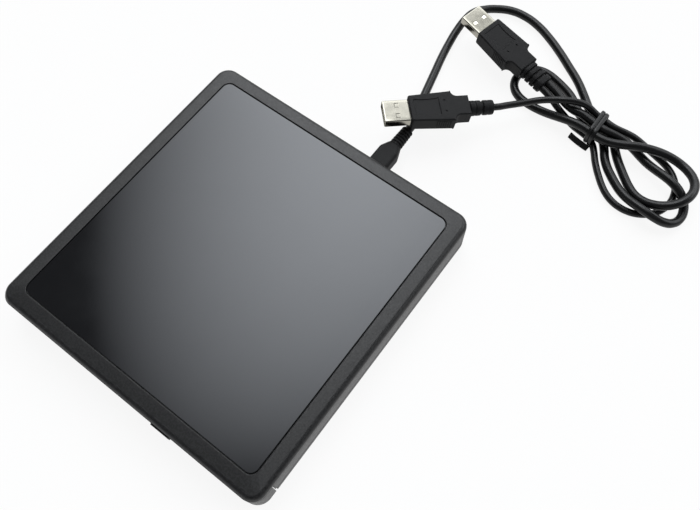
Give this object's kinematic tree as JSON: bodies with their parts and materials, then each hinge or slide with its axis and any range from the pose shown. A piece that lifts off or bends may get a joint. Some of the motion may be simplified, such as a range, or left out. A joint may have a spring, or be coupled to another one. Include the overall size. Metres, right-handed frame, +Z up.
{
  "type": "external disc drive",
  "caption": "Flat square external slim disc drive with a glossy top panel, a sliding drawer with its pickup mechanism, and a forked cable tied in a hank.",
  "frame": {"origin": "middle of the drive's footprint, on the surface that its feet stand on", "axes": "+Z up, -Y towards the drawer's front, +X to the right seen from the front"},
  "size_m": [0.2164, 0.2739, 0.0191],
  "materials": {
    "case_plastic": "satin black moulded ABS",
    "panel_gloss": "polished black acrylic",
    "tray_plastic": "fine moulded black",
    "rubber": "matte rubber",
    "steel": "zinc-plated sheet",
    "plug_steel": "bright nickel plate",
    "pickup_metal": "die-cast, dark",
    "motor": "wound copper and laminations",
    "board": "solder mask green",
    "chip": "moulded epoxy",
    "nylon": "natural nylon",
    "ribbon": "polyimide film",
    "light_pipe": "clear polycarbonate",
    "lens_glass": "coated lens",
    "plug_vinyl": "moulded soft vinyl",
    "cord_vinyl": "extruded vinyl jacket"
  },
  "bodies": {
    "case": {"bottom_case": "case_plastic", "top_cover": "case_plastic", "top_panel": "panel_gloss", "rubber_feet": "rubber", "case_screws": "steel", "chassis_pan": "steel", "chassis_lid": "steel", "chassis_screws": "steel", "left_guide": "nylon", "right_guide": "nylon", "bridge_board": "board", "bridge_chips": "chip", "usb_socket": "plug_steel", "socket_tongue": "chip", "link_connector": "chip", "ribbon_cable": "ribbon"},
    "rails": {"left_rail": "plug_steel", "right_rail": "plug_steel"},
    "drawer": {"tray": "tray_plastic", "bezel": "case_plastic", "tray_pan": "steel", "led_lens": "light_pipe", "front_board": "board", "eject_switch": "chip", "main_board": "board", "main_chips": "chip", "traverse_deck": "steel", "deck_dampers": "rubber", "deck_screws": "steel", "spindle_stator": "motor", "main_guide_rod": "plug_steel", "sub_guide_rod": "plug_steel", "stepper_motor": "motor", "latch_solenoid": "motor", "eject_plunger": "nylon"},
    "spindle": {"turntable": "tray_plastic", "turntable_pad": "rubber", "clamp_balls": "plug_steel"},
    "pickup": {"pickup_sled": "pickup_metal"},
    "lens": {"lens_holder": "chip", "objective_lens": "lens_glass"},
    "screw": {"lead_screw": "plug_steel"},
    "button": {"eject_button": "case_plastic"},
    "latch": {"latch_lever": "nylon"},
    "cable": {"mini_plug_body": "plug_vinyl", "mini_plug_shell": "plug_steel", "data_plug_body": "plug_vinyl", "data_plug_shell": "plug_steel", "power_plug_body": "plug_vinyl", "power_plug_shell": "plug_steel", "plug_tongues": "nylon", "data_cord_lead": "cord_vinyl", "data_cord_hank": "cord_vinyl", "data_cord_tail": "cord_vinyl", "power_cord_lead": "cord_vinyl", "power_cord_loop": "cord_vinyl", "power_cord_tail": "cord_vinyl", "cord_tie": "cord_vinyl"}
  },
  "joints": [
    {"name": "drawer_slide", "type": "slide", "parent": "case", "child": "drawer", "axis": [0, -1, 0], "range_m": [0, 0.126]},
    {"name": "rail_slide", "type": "slide", "parent": "case", "child": "rails", "axis": [0, -1, 0], "range_m": [0, 0.063]},
    {"name": "spindle_spin", "type": "hinge", "parent": "drawer", "child": "spindle", "pos_m": [0, -0.00875, 0.01], "axis": [0, 0, 1], "continuous": true},
    {"name": "pickup_slide", "type": "slide", "parent": "drawer", "child": "pickup", "axis": [0.7071, -0.7071, 0], "range_m": [0, 0.034]},
    {"name": "screw_turn", "type": "hinge", "parent": "drawer", "child": "screw", "pos_m": [0.03642, -0.01476, 0.0077], "axis": [0.7071, -0.7071, 0], "range_deg": [0, 4090]},
    {"name": "lens_focus", "type": "slide", "parent": "pickup", "child": "lens", "axis": [0, 0, 1], "range_m": [-0.0004, 0.0004], "stiffness_N_per_m": 60},
    {"name": "eject_press", "type": "slide", "parent": "drawer", "child": "button", "axis": [0, 1, 0], "range_m": [0, 0.0005], "stiffness_N_per_m": 1000, "springref_m": -0.0003},
    {"name": "latch_turn", "type": "hinge", "parent": "drawer", "child": "latch", "pos_m": [-0.052, 0.044, 0.006], "axis": [0, 0, 1], "range_deg": [-15, 0]},
    {"name": "plug_pull", "type": "slide", "parent": "case", "child": "cable", "axis": [0, 1, 0], "range_m": [0, 0.009]}
  ],
  "couplings": [
    {"joint": "rail_slide", "follows": "drawer_slide", "ratio": 0.5},
    {"joint": "screw_turn", "follows": "pickup_slide", "rad_per_m": 2094.4}
  ]
}
